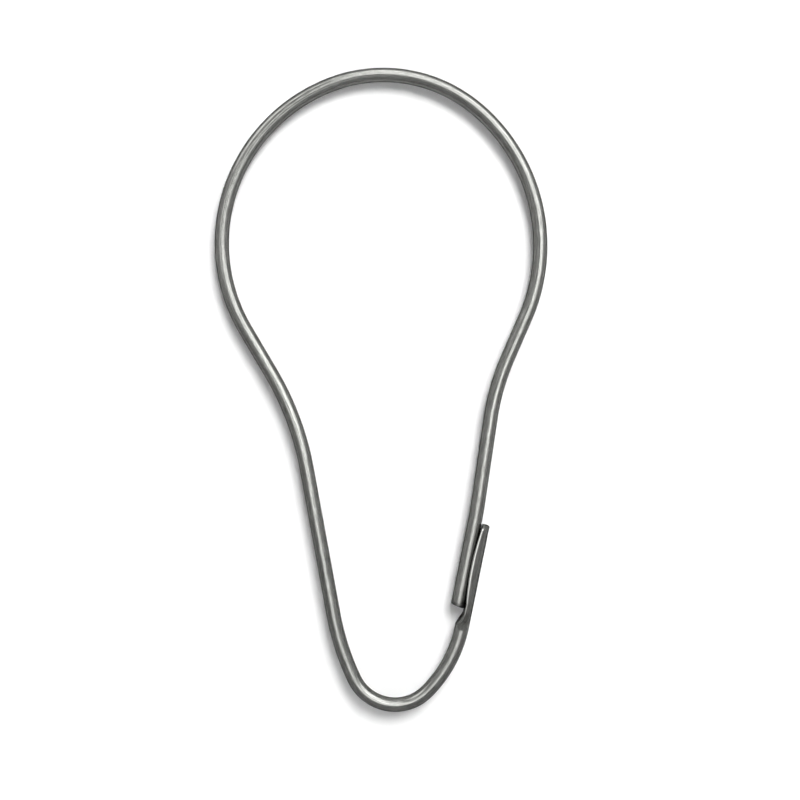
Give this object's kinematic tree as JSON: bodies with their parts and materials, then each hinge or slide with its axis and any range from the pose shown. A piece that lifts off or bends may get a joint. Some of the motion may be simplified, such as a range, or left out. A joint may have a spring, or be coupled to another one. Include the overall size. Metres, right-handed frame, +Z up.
{
  "type": "curtain hook",
  "caption": "Pear-shaped spring-steel wire hook with a wide bow for a curtain rod, a narrow bottom bend for an eyelet, and a pressed catch at the wire's end that holds the free leg",
  "frame": {"origin": "point inside the crown of the bow that bears on the rod", "axes": "the hook hangs in the XZ plane with +Z up, +X is the side of the catch, and the rod runs along Y"},
  "size_m": [0.0372, 0.0026, 0.072],
  "materials": {
    "steel_wire": "drawn wire, satin with fine lines along it, darker where the end is pressed"
  },
  "bodies": {
    "root": {"wire_hook": "steel_wire"}
  },
  "joints": []
}
